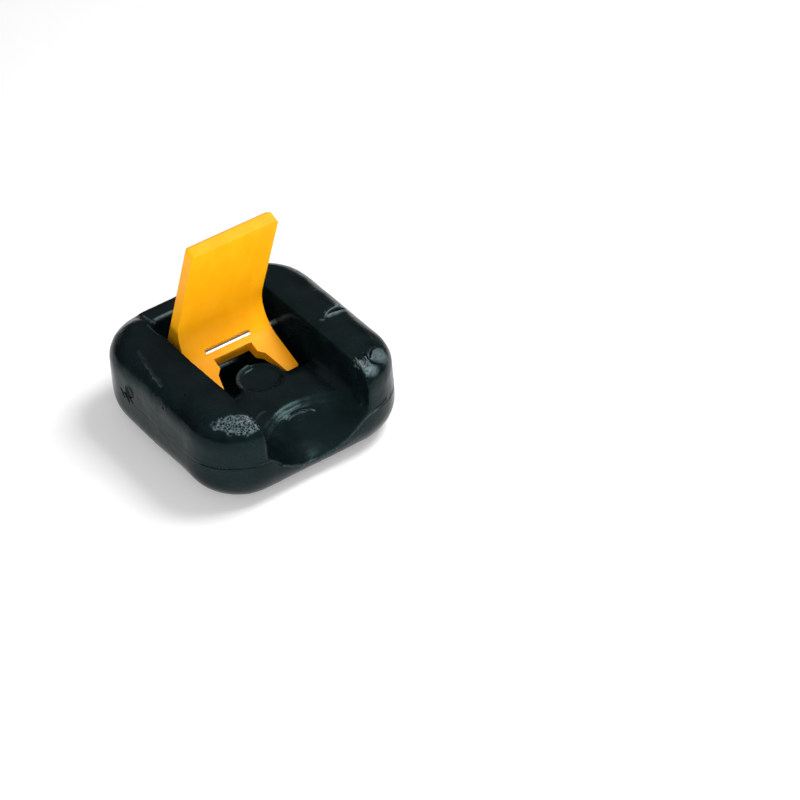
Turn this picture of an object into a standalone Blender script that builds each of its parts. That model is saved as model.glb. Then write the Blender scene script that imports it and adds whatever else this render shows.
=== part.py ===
"""Diving weight with a quick-release latch: a coated lead block that a weight belt runs through.

Frame: X across the belt, Y along the belt with the finger scoop at -Y, Z up.
The origin is on the ground under the middle of the block. Units are metres.
"""

import math

import bmesh
import bpy
from mathutils import Matrix

MM = 0.001

# Block, over its coating
BODY_WIDTH = 102 * MM
BODY_LENGTH = 105 * MM
BODY_HEIGHT = 45 * MM
PLAN_RADIUS = 25.5 * MM
TOP_RADIUS = 12.5 * MM
BOTTOM_RADIUS = 15 * MM

# Coating, and the gap that touching pieces keep
COAT_THICKNESS = 2.2 * MM
FIT_GAP = 0.3 * MM

# Belt channel between the two lobes, and the bar behind it
CHANNEL_WIDTH = 52.4 * MM
CHANNEL_FILLET = 6 * MM
LOBE_EDGE_RADIUS = 3 * MM
PLATFORM_HEIGHT = 27.5 * MM
BAR_THICKNESS = 14.5 * MM
BAR_HEIGHT = 42.3 * MM
BAR_STEP = 1 * MM

# Boss of the platform that stands between the legs of the latch, and the dish in its top
BOSS_RADIUS = 11 * MM
BOSS_Y = -7 * MM
DISH_RADIUS = 8.6 * MM
DISH_RIM_RADIUS = 10 * MM
DISH_DEPTH = 2.4 * MM

# Finger scoop in the front, part of a large ball taken out of the platform between the lobes
SCOOP_RADIUS = 90 * MM
SCOOP_SIDE_RADIUS = 53 * MM
SCOOP_Y = -102 * MM
SCOOP_HEIGHT = 84.5 * MM

# Hinge
PIVOT_Y = 19 * MM
PIVOT_HEIGHT = 28 * MM
PIN_RADIUS = 1.5 * MM
PIN_END_GAP = 0.5 * MM
PLUG_RADIUS = 2.7 * MM
PLUG_SINK = 0.3 * MM

# How far inside the walls of the channel the scoop and the pit keep
WALL_STEP = 0.4 * MM

# Pit that the legs of the latch swing in
LEG_CLEARANCE = 0.8 * MM
PIT_LIP_RADIUS = 13 * MM
PIT_FILLET = 4 * MM

# Latch, drawn shut and level: reach is forward of the pin, rise is above it, drop is below it
LATCH_WIDTH = 44 * MM
PLATE_REACH = 68.5 * MM
PLATE_RISE = 15.8 * MM
PLATE_THICKNESS = 6.8 * MM
PLATE_CHAMFER = 1.5 * MM
PLATE_CORNER = 2 * MM
HEEL_REACH = 7 * MM
HEEL_RADIUS = 6 * MM
HEEL_RISE = 2 * MM
LEG_FACE_REACH = 1 * MM
LEG_FILLET = 16 * MM
LEG_DROP = 24.7 * MM
LEG_TIP_THICKNESS = 2.2 * MM
LEG_TIP_CORNER = 1.5 * MM
NOTCH_WIDTH = 19.6 * MM
NOTCH_DROP = 4.3 * MM
NOTCH_STEP_DROP = 9.5 * MM
NOTCH_STEP = 2.6 * MM
LEG_TAPER = 3.2 * MM
SLOT_WIDTH = 23.8 * MM
SLOT_HEIGHT = 2.2 * MM
REST_OPENING = math.radians(69)

# How finely round shapes are divided
PLAN_SEGMENTS = 10
EDGE_SEGMENTS = 6
CORNER_SEGMENTS = 3
PIN_SEGMENTS = 24
DISH_SEGMENTS = 40
SCOOP_SEGMENTS = 96
ARC_STEP = math.radians(9)

# How far a cutter runs past what it cuts, and how near two numbers are the same
OVERRUN = 10 * MM
TINY = 0.01 * MM

LEAD_INSET = COAT_THICKNESS + FIT_GAP
LEAD_SIDE = BODY_WIDTH / 2 - LEAD_INSET
BAR_FACE_Y = BODY_LENGTH / 2 - BAR_THICKNESS
BORE_RADIUS = PIN_RADIUS + FIT_GAP
LEG_SWEEP_RADIUS = LEG_DROP + LEG_CLEARANCE
PLATE_UNDERSIDE_RISE = PLATE_RISE - PLATE_THICKNESS

# Matrices that stand a flat outline up, so that it is seen from the front, the side, or as a latch
FACING_FRONT = Matrix(((1, 0, 0, 0), (0, 0, -1, 0), (0, 1, 0, 0), (0, 0, 0, 1)))
FACING_SIDE = Matrix(((0, 0, 1, 0), (1, 0, 0, 0), (0, 1, 0, 0), (0, 0, 0, 1)))
FACING_LATCH_SIDE = Matrix(((0, 0, -1, 0), (-1, 0, 0, 0), (0, 1, 0, 0), (0, 0, 0, 1)))
ALONG_X = Matrix.Rotation(math.radians(90), 4, 'Y')

COAT_BLACK = (0.012, 0.018, 0.019, 1.0)
LEAD_GREY = (0.16, 0.17, 0.18, 1.0)
LATCH_ORANGE = (0.92, 0.38, 0.004, 1.0)
STEEL_GREY = (0.62, 0.61, 0.58, 1.0)


def clear_scene():
    """Remove the objects and collections that a new file opens with."""
    for obj in list(bpy.data.objects):
        bpy.data.objects.remove(obj, do_unlink=True)
    for collection in list(bpy.data.collections):
        bpy.data.collections.remove(collection)


def new_collection(name):
    """Make a collection in the scene."""
    collection = bpy.data.collections.new(name)
    bpy.context.scene.collection.children.link(collection)
    return collection


def finish(name, colour, roughness, metallic=0.0):
    """Make a plain material for one kind of stuff."""
    material = bpy.data.materials.new(name)
    material.use_nodes = True
    shader = material.node_tree.nodes["Principled BSDF"]
    shader.inputs["Base Color"].default_value = colour
    shader.inputs["Roughness"].default_value = roughness
    shader.inputs["Metallic"].default_value = metallic
    return material


def object_from_bmesh(name, bm, collection):
    """Turn a bmesh into an object and free the bmesh."""
    mesh = bpy.data.meshes.new(name)
    bm.to_mesh(mesh)
    bm.free()
    obj = bpy.data.objects.new(name, mesh)
    collection.objects.link(obj)
    return obj


def dress(obj, material):
    """Give an object its material, and shade it smooth between edges that are really sharp."""
    obj.data.materials.append(material)
    obj.data.shade_smooth()
    obj.data.set_sharp_from_angle(angle=math.radians(35))


def cut(obj, cutter):
    """Take one object's shape out of another, and keep the cutter out of the render."""
    cutter.hide_render = True
    cutter.display_type = 'WIRE'
    modifier = obj.modifiers.new(cutter.name, 'BOOLEAN')
    modifier.operation = 'DIFFERENCE'
    modifier.solver = 'EXACT'
    modifier.object = cutter


def arc(centre, radius, start, end):
    """Points along a round stretch of an outline, from one angle in degrees to another."""
    steps = max(1, math.ceil(math.radians(abs(end - start)) / ARC_STEP - TINY))
    points = []
    for index in range(steps + 1):
        angle = math.radians(start + (end - start) * index / steps)
        points.append((centre[0] + radius * math.cos(angle), centre[1] + radius * math.sin(angle)))
    return points


def mirrored(right):
    """Close a symmetric outline from the points of its right half."""
    return right + [(-x, y) for x, y in reversed(right)]


def prism(name, outline, depth, facing, collection):
    """Solid with a flat outline, turned by a matrix, reaching half its depth to each side."""
    curve = bpy.data.curves.new(name, 'CURVE')
    curve.dimensions = '2D'
    curve.fill_mode = 'BOTH'
    curve.extrude = depth / 2
    spline = curve.splines.new('POLY')
    spline.points.add(len(outline) - 1)
    for point, (x, y) in zip(spline.points, outline):
        point.co = (x, y, 0, 1)
    spline.use_cyclic_u = True
    drawn = bpy.data.objects.new(name + "_outline", curve)
    collection.objects.link(drawn)
    evaluated = drawn.evaluated_get(bpy.context.evaluated_depsgraph_get())
    mesh = bpy.data.meshes.new_from_object(evaluated)
    bpy.data.objects.remove(drawn, do_unlink=True)
    bpy.data.curves.remove(curve)
    bm = bmesh.new()
    bm.from_mesh(mesh)
    bpy.data.meshes.remove(mesh)
    bmesh.ops.remove_doubles(bm, verts=bm.verts, dist=TINY / 10)
    bmesh.ops.dissolve_limit(bm, angle_limit=math.radians(0.5), verts=bm.verts, edges=bm.edges)
    bmesh.ops.transform(bm, matrix=facing, verts=bm.verts)
    bmesh.ops.recalc_face_normals(bm, faces=bm.faces)
    return object_from_bmesh(name, bm, collection)


def cylinder(name, radius, length, collection):
    """Closed cylinder along X, centred on its origin."""
    bm = bmesh.new()
    bmesh.ops.create_cone(bm, cap_ends=True, segments=PIN_SEGMENTS, radius1=radius, radius2=radius,
                          depth=length, matrix=ALONG_X)
    return object_from_bmesh(name, bm, collection)


def bevel_edges(bm, edges, width, segments):
    """Round the given edges, or chamfer them when there is one segment."""
    bmesh.ops.bevel(bm, geom=edges, offset=width, offset_type='OFFSET', segments=segments,
                    profile=0.5, affect='EDGES', material=-1)


def edges_where(bm, test):
    """Edges whose two ends both pass a test on their position."""
    return [edge for edge in bm.edges if all(test(vert.co) for vert in edge.verts)]


def rounded_block(name, inset, collection):
    """The block with rounded corners and edges, with its whole surface moved in by the inset."""
    bottom = inset
    top = BODY_HEIGHT - inset
    bm = bmesh.new()
    bmesh.ops.create_cube(bm, size=1)
    size = (BODY_WIDTH - 2 * inset, BODY_LENGTH - 2 * inset, top - bottom)
    bmesh.ops.scale(bm, vec=size, verts=bm.verts)
    bmesh.ops.translate(bm, vec=(0, 0, (top + bottom) / 2), verts=bm.verts)
    uprights = [edge for edge in bm.edges if abs(edge.verts[0].co.z - edge.verts[1].co.z) > TINY]
    bevel_edges(bm, uprights, PLAN_RADIUS - inset, PLAN_SEGMENTS)
    top_rim = edges_where(bm, lambda co: co.z > top - TINY)
    bevel_edges(bm, top_rim, TOP_RADIUS - inset, EDGE_SEGMENTS)
    bottom_rim = edges_where(bm, lambda co: co.z < bottom + TINY)
    bevel_edges(bm, bottom_rim, BOTTOM_RADIUS - inset, EDGE_SEGMENTS)
    return object_from_bmesh(name, bm, collection)


def channel_cutter(inset, tag, cutters):
    """The belt channel: a floor with round corners, walls, and lobe edges that roll outwards."""
    half = CHANNEL_WIDTH / 2 + inset
    fillet = CHANNEL_FILLET + inset
    floor = PLATFORM_HEIGHT - inset
    top = BODY_HEIGHT - inset
    roll = LOBE_EDGE_RADIUS - inset
    right = arc((half - fillet, floor + fillet), fillet, -90, 0)
    if roll > TINY:
        right += arc((half + roll, top - roll), roll, 180, 90)
        right.append((half + roll, top + OVERRUN))
    else:
        right.append((half, top + OVERRUN))
    start = -BODY_LENGTH / 2 - OVERRUN
    end = BAR_FACE_Y + inset
    cutter = prism("cut_channel_" + tag, mirrored(right), end - start, FACING_FRONT, cutters)
    cutter.location.y = (start + end) / 2
    return cutter


def bar_top_cutter(inset, tag, cutters):
    """The step down from the lobes to the top of the bar."""
    half = CHANNEL_WIDTH / 2 + BAR_STEP + inset
    floor = BAR_HEIGHT - inset
    outline = mirrored([(half, floor), (half, BODY_HEIGHT + OVERRUN)])
    start = BAR_FACE_Y - OVERRUN
    end = BODY_LENGTH / 2 + OVERRUN
    cutter = prism("cut_bar_top_" + tag, outline, end - start, FACING_FRONT, cutters)
    cutter.location.y = (start + end) / 2
    return cutter


def pit_cutter(inset, tag, cutters):
    """The pit under the latch: a round lip, the arc that the leg tips clear, and a flat floor."""
    sweep = LEG_SWEEP_RADIUS + inset
    lip = PIT_LIP_RADIUS - inset
    lip_height = PLATFORM_HEIGHT - PIT_LIP_RADIUS
    rise = PIVOT_HEIGHT - lip_height
    run = math.sqrt((lip + sweep) ** 2 - rise ** 2)
    lip_centre = (PIVOT_Y - run, lip_height)
    meeting = math.degrees(math.atan2(rise, run))
    floor = PIVOT_HEIGHT - sweep
    back = BAR_FACE_Y - WALL_STEP + inset
    fillet = PIT_FILLET + inset
    top = PLATFORM_HEIGHT + OVERRUN

    lip_start = 80
    lead_in = arc(lip_centre, lip, lip_start, meeting)
    slope = math.tan(math.radians(90 - lip_start))
    outline = [(lead_in[0][0] - OVERRUN, lead_in[0][1] + OVERRUN * slope)] + lead_in
    outline += arc((PIVOT_Y, PIVOT_HEIGHT), sweep, 180 + meeting, 270)[1:]
    outline += arc((back - fillet, floor + fillet), fillet, -90, 0)
    outline += [(back, top), (outline[0][0], top)]
    width = CHANNEL_WIDTH + 2 * (inset - WALL_STEP)
    pit = prism("cut_pit_" + tag, outline, width, FACING_SIDE, cutters)

    radius = BOSS_RADIUS - inset
    front = -BODY_LENGTH / 2
    boss_outline = arc((0, BOSS_Y), radius, 0, 180) + [(-radius, front), (radius, front)]
    boss = prism("keep_boss_" + tag, boss_outline, 4 * BODY_HEIGHT, Matrix.Identity(4), cutters)
    cut(pit, boss)
    return pit


def scoop_cutter(inset, tag, cutters):
    """The ball that hollows the front of the platform for a finger, sliced off beside the lobes."""
    bm = bmesh.new()
    bmesh.ops.create_uvsphere(bm, u_segments=SCOOP_SEGMENTS, v_segments=SCOOP_SEGMENTS // 2, radius=1)
    long_radius = SCOOP_RADIUS + inset
    bmesh.ops.scale(bm, vec=(SCOOP_SIDE_RADIUS + inset, long_radius, long_radius), verts=bm.verts)
    half = CHANNEL_WIDTH / 2 + inset - WALL_STEP
    for side in (-half, half):
        whole = list(bm.verts) + list(bm.edges) + list(bm.faces)
        bmesh.ops.bisect_plane(bm, geom=whole, plane_co=(side, 0, 0), plane_no=(side, 0, 0),
                               clear_outer=True)
        bmesh.ops.edgeloop_fill(bm, edges=[edge for edge in bm.edges if edge.is_boundary])
    cutter = object_from_bmesh("cut_scoop_" + tag, bm, cutters)
    cutter.location = (0, SCOOP_Y, SCOOP_HEIGHT)
    return cutter


def dish_cutter(inset, tag, cutters):
    """The shallow round dish in the top of the boss, with sloping sides."""
    slope = (DISH_RIM_RADIUS - DISH_RADIUS) / DISH_DEPTH
    depth = DISH_DEPTH + OVERRUN
    bm = bmesh.new()
    bmesh.ops.create_cone(bm, cap_ends=True, segments=DISH_SEGMENTS, radius1=DISH_RADIUS + inset,
                          radius2=DISH_RADIUS + inset + slope * depth, depth=depth)
    cutter = object_from_bmesh("cut_dish_" + tag, bm, cutters)
    cutter.location = (0, BOSS_Y, PLATFORM_HEIGHT - DISH_DEPTH - inset + depth / 2)
    return cutter


def carved_block(name, inset, tag, collection, cutters):
    """The block with its channel, pit, scoop and dish, its whole surface moved in by the inset."""
    body = rounded_block(name, inset, collection)
    for make_cutter in (channel_cutter, bar_top_cutter, pit_cutter, scoop_cutter, dish_cutter):
        cut(body, make_cutter(inset, tag, cutters))
    return body


def cut_pin_bore(body, tag, cutters):
    """Drill the hole for the hinge pin right through both lobes."""
    cutter = cylinder("cut_pin_bore_" + tag, BORE_RADIUS, BODY_WIDTH + 2 * OVERRUN, cutters)
    cutter.location = (0, PIVOT_Y, PIVOT_HEIGHT)
    cut(body, cutter)


def build_coat(parts, cutters):
    """The vinyl coating: a skin of even thickness, open only where the pin goes in."""
    coat = carved_block("vinyl_coat", 0, "outside", parts, cutters)
    dress(coat, finish("black_vinyl", COAT_BLACK, 0.28))
    cut(coat, carved_block("cut_hollow", COAT_THICKNESS, "hollow", cutters, cutters))
    cut_pin_bore(coat, "coat", cutters)
    length = LEAD_INSET + OVERRUN
    for side, sign in (("left", -1), ("right", 1)):
        hole = cylinder("cut_plug_hole_" + side, PLUG_RADIUS + FIT_GAP, length, cutters)
        hole.location = (sign * (LEAD_SIDE + length / 2), PIVOT_Y, PIVOT_HEIGHT)
        cut(coat, hole)


def build_core(parts, cutters):
    """The lead casting inside the coating."""
    core = carved_block("lead_core", LEAD_INSET, "core", parts, cutters)
    dress(core, finish("lead", LEAD_GREY, 0.6, 0.8))
    cut_pin_bore(core, "core", cutters)


def build_pin(parts):
    """The steel pin that the latch swings on, and the plugs that close its bore."""
    pin = cylinder("hinge_pin", PIN_RADIUS, 2 * (LEAD_SIDE - PIN_END_GAP), parts)
    pin.location = (0, PIVOT_Y, PIVOT_HEIGHT)
    dress(pin, finish("stainless_steel", STEEL_GREY, 0.25, 1.0))
    length = LEAD_INSET - FIT_GAP - PLUG_SINK
    for side, sign in (("left", -1), ("right", 1)):
        plug = cylinder("pin_plug_" + side, PLUG_RADIUS, length, parts)
        plug.location = (sign * (LEAD_SIDE + FIT_GAP + length / 2), PIVOT_Y, PIVOT_HEIGHT)
        dress(plug, finish("plug_vinyl_" + side, COAT_BLACK, 0.4))


def latch_outline():
    """Side view of the latch, shut and level: local X is towards the finger end, local Y is up."""
    outline = [(LEG_FACE_REACH - LEG_TIP_THICKNESS, -LEG_DROP), (LEG_FACE_REACH, -LEG_DROP)]
    fillet_centre = (LEG_FACE_REACH + LEG_FILLET, PLATE_UNDERSIDE_RISE - LEG_FILLET)
    outline += arc(fillet_centre, LEG_FILLET, 180, 90)
    outline += [(PLATE_REACH, PLATE_UNDERSIDE_RISE), (PLATE_REACH, PLATE_RISE)]
    outline += arc((HEEL_RADIUS - HEEL_REACH, PLATE_RISE - HEEL_RADIUS), HEEL_RADIUS, 90, 180)
    outline.append((-HEEL_REACH, HEEL_RISE))
    return outline


def is_upright(face):
    """Whether a face of the latch is part of its sides, its finger end or the corners between."""
    normal = face.normal
    return abs(normal.z) < TINY and (abs(normal.x) > TINY or normal.y < 0)


def latch_blank(name, collection):
    """The latch at full width, with its corners rounded and its upper edges chamfered."""
    blank = prism(name, latch_outline(), LATCH_WIDTH, FACING_LATCH_SIDE, collection)
    bm = bmesh.new()
    bm.from_mesh(blank.data)
    for side in (-1, 1):
        finger_end = edges_where(bm, lambda co: co.x * side > 0 and co.y < TINY - PLATE_REACH)
        bevel_edges(bm, finger_end, PLATE_CORNER, CORNER_SEGMENTS)
        tip = edges_where(bm, lambda co: co.x * side > 0 and co.z < TINY - LEG_DROP)
        bevel_edges(bm, tip, LEG_TIP_CORNER, CORNER_SEGMENTS)
    bm.normal_update()
    rim = []
    for edge in bm.edges:
        upright = [face for face in edge.link_faces if is_upright(face)]
        upper = [face for face in edge.link_faces if face.normal.z > TINY]
        if upright and upper:
            rim.append(edge)
    bevel_edges(bm, rim, PLATE_CHAMFER, 1)
    bm.to_mesh(blank.data)
    bm.free()
    return blank


def notch_outline():
    """Front view of the gap between the legs, narrow at the pin and wider around the boss."""
    half = NOTCH_WIDTH / 2
    wide = half + NOTCH_STEP
    step_end = NOTCH_STEP_DROP + NOTCH_STEP
    end = LEG_DROP + OVERRUN
    taper = LEG_TAPER / (LEG_DROP - step_end)
    right = [(half, -NOTCH_DROP), (half, -NOTCH_STEP_DROP), (wide, -step_end)]
    right.append((wide + taper * (end - step_end), -end))
    return mirrored(right)


def build_latch(parts, cutters):
    """The orange latch: a plate for the finger, and two legs that press the belt into the pit."""
    hinge = bpy.data.objects.new("latch_hinge_axis", None)
    parts.objects.link(hinge)
    hinge.location = (0, PIVOT_Y, PIVOT_HEIGHT)
    hinge.rotation_euler.x = -REST_OPENING
    latch = latch_blank("latch", parts)
    dress(latch, finish("orange_plastic", LATCH_ORANGE, 0.35))
    latch.parent = hinge

    length = 2 * (PLATE_REACH + OVERRUN)
    notch = prism("cut_notch", notch_outline(), length, FACING_FRONT, cutters)
    radius = SLOT_HEIGHT / 2
    inner = SLOT_WIDTH / 2 - radius
    slot_outline = arc((inner, 0), radius, -90, 90) + arc((-inner, 0), radius, 90, 270)
    slot = prism("cut_slot", slot_outline, length, FACING_FRONT, cutters)
    slot.location.y = -length / 2
    bore = cylinder("cut_latch_bore", BORE_RADIUS, LATCH_WIDTH + 2 * OVERRUN, cutters)
    for cutter in (notch, slot, bore):
        cutter.parent = hinge
        cut(latch, cutter)


def main():
    """Build the weight."""
    clear_scene()
    parts = new_collection("diving_weight")
    cutters = new_collection("cutters")
    build_coat(parts, cutters)
    build_core(parts, cutters)
    build_pin(parts)
    build_latch(parts, cutters)


main()
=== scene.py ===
"""A weight for a diving belt: a lead casting dipped in black vinyl, with an orange latch on a steel pin.

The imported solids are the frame. Each piece that shows is built here again with the detail of the real one, at
the same size and in the same place. X runs across the belt channel, Y along it to the rear bar, and Z up, in
metres. The marks and the lumps of the vinyl are in millimetres.
"""
import logging
import math
import random
from abc import ABC, abstractmethod
from collections.abc import Callable
from dataclasses import dataclass, field
from enum import Enum

import bmesh
import bpy
import numpy as np
from mathutils import Matrix, Vector, noise
from mathutils.bvhtree import BVHTree


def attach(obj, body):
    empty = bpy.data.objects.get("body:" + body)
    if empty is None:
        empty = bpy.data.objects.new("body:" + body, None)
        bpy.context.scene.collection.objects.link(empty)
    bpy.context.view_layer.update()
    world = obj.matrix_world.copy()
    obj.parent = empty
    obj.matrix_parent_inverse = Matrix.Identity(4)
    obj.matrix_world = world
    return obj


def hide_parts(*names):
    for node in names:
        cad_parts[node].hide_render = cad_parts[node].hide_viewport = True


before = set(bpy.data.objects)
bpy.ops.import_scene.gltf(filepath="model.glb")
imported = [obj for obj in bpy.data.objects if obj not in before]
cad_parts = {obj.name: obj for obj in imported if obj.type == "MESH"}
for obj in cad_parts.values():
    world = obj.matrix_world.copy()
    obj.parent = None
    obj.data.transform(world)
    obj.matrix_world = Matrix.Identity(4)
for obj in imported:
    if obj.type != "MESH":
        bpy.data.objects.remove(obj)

MM = 0.001
OVERRUN = 10 * MM
HAIR = 0.01 * MM
TINY = 1e-4
STEP_SLACK = 0.001
WHITE = (1.0, 1.0, 1.0, 1.0)

Point = tuple[float, float, float]
Colour = tuple[float, float, float, float]
Array = np.ndarray
BMesh = bmesh.types.BMesh
Object = bpy.types.Object
Material = bpy.types.Material
Socket = bpy.types.NodeSocket
Input = Socket | float | Point | Colour

log = logging.getLogger("diving_weight")


class Side(Enum):
    """One of the two sides of the weight, seen from the finger scoop."""

    LEFT = -1
    RIGHT = 1


class Facing(Enum):
    """The way that an outline's plane looks once it is raised to a solid."""

    UP = ((1, 0, 0), (0, 1, 0), (0, 0, 1))
    FRONT = ((1, 0, 0), (0, 0, -1), (0, 1, 0))
    SIDE = ((0, 0, 1), (1, 0, 0), (0, 1, 0))
    LATCH_SIDE = ((0, 0, -1), (-1, 0, 0), (0, 1, 0))

    def matrix(self) -> Matrix:
        """The turn from the drawing's plane to the world."""
        return Matrix(self.value).to_4x4()


# Mesh helpers

def new_object(name: str, bm: BMesh) -> Object:
    """Turn a bmesh into an object of the scene.

    Args:
        name: the object's name.
        bm: the mesh, which is freed.

    Returns:
        The new object, at the origin.
    """
    mesh = bpy.data.meshes.new(name)
    bm.to_mesh(mesh)
    bm.free()
    obj = bpy.data.objects.new(name, mesh)
    bpy.context.scene.collection.objects.link(obj)
    return obj


def drop(obj: Object) -> None:
    """Remove an object that was only a tool, with its mesh."""
    mesh = obj.data
    bpy.data.objects.remove(obj, do_unlink=True)
    bpy.data.meshes.remove(mesh)


def settled(obj: Object) -> BMesh:
    """The object's mesh with its modifiers carried out, as a new bmesh in world places."""
    bm = bmesh.new()
    bm.from_object(obj, bpy.context.evaluated_depsgraph_get())
    bm.transform(obj.matrix_world)
    return bm


def carve(obj: Object, tools: list[Object], solver: str = "EXACT") -> Object:
    """Cut tools out of an object and throw the tools away.

    Args:
        obj: the body to cut, which is replaced.
        tools: the solids to take out of it.
        solver: the Boolean solver.

    Returns:
        The cut body, under the same name.
    """
    name = obj.name
    for tool in tools:
        cut = obj.modifiers.new(tool.name, "BOOLEAN")
        cut.operation = "DIFFERENCE"
        cut.solver = solver
        cut.object = tool
    bm = settled(obj)
    for spent in [obj, *tools]:
        drop(spent)
    return new_object(name, bm)


def bevel(bm: BMesh, edges: list[bmesh.types.BMEdge], width: float, segments: int) -> None:
    """Round the given edges, or chamfer them when there is one segment."""
    bmesh.ops.bevel(bm, geom=edges, offset=width, offset_type="OFFSET", segments=segments,
                    profile=0.5, affect="EDGES", material=-1)


def edges_where(bm: BMesh, test: Callable[[Vector], bool]) -> list[bmesh.types.BMEdge]:
    """Edges whose two ends both pass a test on their position."""
    return [edge for edge in bm.edges if all(test(vert.co) for vert in edge.verts)]


def rod(name: str, radius: float, start: float, end: float, axis: Point, segments: int = 64,
        chamfer: float = 0.0) -> Object:
    """A round rod along X.

    Args:
        name: the object's name.
        radius: its radius.
        start: its lower end on X.
        end: its upper end on X.
        axis: a point of its axis, whose X is not used.
        segments: the faces round it.
        chamfer: the width of the chamfer on both ends, or 0.

    Returns:
        The rod.
    """
    bm = bmesh.new()
    along = Matrix.Rotation(math.radians(90), 4, "Y")
    bmesh.ops.create_cone(bm, cap_ends=True, segments=segments, radius1=radius, radius2=radius,
                          depth=end - start, matrix=along)
    if chamfer:
        rims = [edge for edge in bm.edges if abs(edge.verts[0].co.x - edge.verts[1].co.x) < HAIR]
        bevel(bm, rims, chamfer, 2)
    bmesh.ops.translate(bm, vec=((start + end) / 2, axis[1], axis[2]), verts=bm.verts)
    return new_object(name, bm)


class Outline:
    """A closed outline, drawn by a pen that goes straight or round an arc, and raised to a solid."""

    def __init__(self, x: float, y: float, arc_step: float) -> None:
        """Put the pen down.

        Args:
            x: where the outline starts.
            y: where the outline starts.
            arc_step: the most that one edge of an arc turns, in degrees.
        """
        self.bm = bmesh.new()
        self.tip = self.bm.verts.new((x, y, 0))
        self.arc_step = arc_step

    def line(self, x: float, y: float) -> "Outline":
        """Draw a straight edge to a point."""
        self.tip = bmesh.ops.extrude_vert_indiv(self.bm, verts=[self.tip])["verts"][0]
        self.tip.co = (x, y, 0)
        return self

    def arc(self, centre: tuple[float, float], degrees: float) -> "Outline":
        """Draw an arc round a centre, counterclockwise where degrees is above 0."""
        steps = max(1, math.ceil(abs(degrees) / self.arc_step - STEP_SLACK))
        spun = bmesh.ops.spin(self.bm, geom=[self.tip], cent=(*centre, 0), axis=(0, 0, 1),
                              angle=math.radians(degrees), steps=steps)
        self.tip = spun["geom_last"][0]
        return self

    def raised(self, name: str, depth: float, facing: Facing, shift: Point = (0, 0, 0)) -> Object:
        """Close the outline and raise it to a solid.

        Args:
            name: the object's name.
            depth: the solid's depth, half of it to each side of the outline's plane.
            facing: the way that the plane looks.
            shift: how far the solid is moved at the end.

        Returns:
            The solid.
        """
        bm = self.bm
        bmesh.ops.remove_doubles(bm, verts=bm.verts, dist=HAIR / 10)
        ends = [vert for vert in bm.verts if len(vert.link_edges) == 1]
        if ends:
            bmesh.ops.contextual_create(bm, geom=ends)
        bmesh.ops.edgeloop_fill(bm, edges=bm.edges)
        bmesh.ops.translate(bm, vec=(0, 0, -depth / 2), verts=bm.verts)
        grown = bmesh.ops.extrude_face_region(bm, geom=bm.faces[:])["geom"]
        top = [item for item in grown if isinstance(item, bmesh.types.BMVert)]
        bmesh.ops.translate(bm, vec=(0, 0, depth), verts=top)
        bmesh.ops.transform(bm, matrix=Matrix.Translation(shift) @ facing.matrix(), verts=bm.verts)
        bmesh.ops.recalc_face_normals(bm, faces=bm.faces)
        return new_object(name, bm)


# Number helpers

SEED_STEP = np.array((17.3, 5.1, 9.7))


def ramp(values: Array, low: float, high: float) -> Array:
    """Go smoothly from 0 at low to 1 at high."""
    share = np.clip((values - low) / (high - low), 0.0, 1.0)
    return share * share * (3 - 2 * share)


def ripple(places: Array, size: float, seed: int, octaves: int = 3) -> Array:
    """Smooth random heights of about -1 to 1.

    Args:
        places: the points, in millimetres.
        size: the width of the largest waves, in millimetres.
        seed: which pattern it is.
        octaves: how many finer layers lie on the largest waves.

    Returns:
        One height for each point.
    """
    shifted = places / size + SEED_STEP * seed
    return np.array([noise.fractal(Vector(place), 1.0, 2.0, octaves) for place in shifted])


def cells(places: Array, size: float) -> Array:
    """How far points are from the walls between random cells.

    Args:
        places: the points, in millimetres.
        size: about how wide one cell is.

    Returns:
        For each point a value from 0 at a wall to about 1.
    """
    nearest = [noise.voronoi(Vector(place))[0] for place in places / size]
    return np.array([near[1] - near[0] for near in nearest])


def distance_along(places: Array, path: Array) -> tuple[Array, Array]:
    """Distance of points from a path.

    Args:
        places: the points.
        path: the path's corners.

    Returns:
        For each point its distance from the path, and how far along the path the nearest place is.
    """
    best = np.full(len(places), np.inf)
    along = np.zeros(len(places))
    walked = 0.0
    for start, end in zip(path[:-1], path[1:]):
        step = end - start
        length = float(np.linalg.norm(step))
        share = np.clip((places - start) @ step / length ** 2, 0.0, 1.0)
        gap = np.linalg.norm(places - start - share[:, None] * step, axis=1)
        nearer = gap < best
        best[nearer] = gap[nearer]
        along[nearer] = walked + share[nearer] * length
        walked += length
    return best, along


# Marks in the vinyl, in millimetres

LAY_STEP = 0.5
REACH = 2.5
ROOM = 0.3
DENSE_REACH = 2.0
DENSE_ROOM = 0.5
RIM = 0.9
GROOVE_BLACK = 1.5


@dataclass
class Mark(ABC):
    """Something small that raises or sinks the skin of the vinyl.

    The net is split as often as fine says where the mark goes. The mark's pale share is painted on: a painted
    highlight along ridges and facets, and on the pitted patches partly real scuffing.
    """

    fine: int = field(default=2, kw_only=True)
    scuff_sheen_share: float = field(default=0.0, kw_only=True)

    @abstractmethod
    def spot(self, places: Array) -> Array:
        """Which points the mark can reach, as True or False."""

    @abstractmethod
    def height(self, places: Array) -> Array:
        """How far the mark raises each of the points that it reaches."""

    def settle(self, tree: BVHTree) -> None:
        """Move the mark onto the skin, where it isn't there already."""

    def dense(self, places: Array, level: int) -> Array:
        """Which points need a finer net, at the given level of splitting, as True or False."""
        return self.spot(places)

    def wear_and_sheen(self, places: Array) -> Array:
        """How pale each point that the mark reaches is painted, as a painted highlight or scuffing, or below 0
        where it keeps them black.
        """
        return np.zeros(len(places))


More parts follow.
